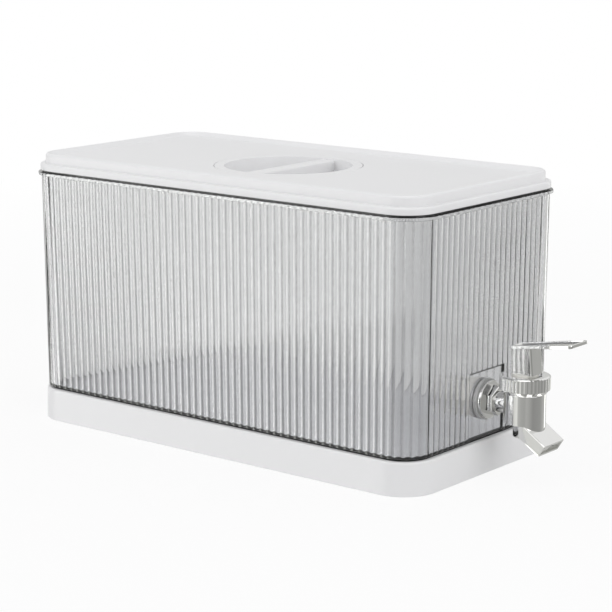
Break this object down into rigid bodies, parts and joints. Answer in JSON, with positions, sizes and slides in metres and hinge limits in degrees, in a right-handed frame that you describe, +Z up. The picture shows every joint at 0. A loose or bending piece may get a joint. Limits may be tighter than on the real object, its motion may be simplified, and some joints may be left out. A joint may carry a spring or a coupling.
{
  "type": "fridge water jug with tap",
  "caption": "Low rectangular clear reeded water tank on a white stand, with a lift-off lid, a twist fill cap and a press-lever tap on its end wall.",
  "frame": {"origin": "centre of the stand's underside, on the shelf", "axes": "+X along the long side towards the tap, +Z up, -Y the long side that faces the camera"},
  "size_m": [0.3609, 0.1544, 0.17],
  "materials": {
    "white_plastic": "satin moulded",
    "clear_plastic": "clear, polished",
    "clear_silicone": "translucent, soft",
    "chromed_plastic": "bright plated",
    "natural_nylon": "natural, satin",
    "steel": "bright stainless"
  },
  "bodies": {
    "base": {"stand": "white_plastic", "tank": "clear_plastic", "tap_body": "chromed_plastic", "outer_washer": "clear_silicone", "inner_washer": "clear_silicone", "lock_nut": "natural_nylon", "bonnet": "chromed_plastic", "bonnet_seal": "clear_silicone", "wear_washer": "natural_nylon", "valve_spring": "steel"},
    "lid": {"lid": "white_plastic", "lid_gasket": "clear_silicone"},
    "cap_ring": {"cap_seal": "clear_silicone"},
    "cap": {"fill_cap": "white_plastic"},
    "stem": {"valve_stem": "natural_nylon", "seat_cup": "clear_silicone", "spring_washer": "steel", "lever_pin": "steel"},
    "lever": {"lever": "chromed_plastic"}
  },
  "joints": [
    {"name": "lid_lift", "type": "slide", "parent": "base", "child": "lid", "axis": [0, 0, 1], "range_m": [0, 0.06]},
    {"name": "cap_lift", "type": "slide", "parent": "lid", "child": "cap_ring", "axis": [0, 0, 1], "range_m": [0, 0.05]},
    {"name": "cap_turn", "type": "hinge", "parent": "cap_ring", "child": "cap", "pos_m": [0, 0, 0.16725], "axis": [0, 0, 1], "range_deg": [0, 60]},
    {"name": "stem_lift", "type": "slide", "parent": "base", "child": "stem", "axis": [0, 0, 1], "range_m": [0, 0.0037], "deforming": ["valve_spring"]},
    {"name": "lever_press", "type": "hinge", "parent": "stem", "child": "lever", "pos_m": [0.17406, 0, 0.0683], "axis": [0, 1, 0], "range_deg": [0, 25], "stiffness_Nm_per_rad": 0.0863, "springref_deg": -27.02}
  ],
  "couplings": [
    {"joint": "lever_press", "follows": "stem_lift", "rad_per_m": 117.9}
  ]
}
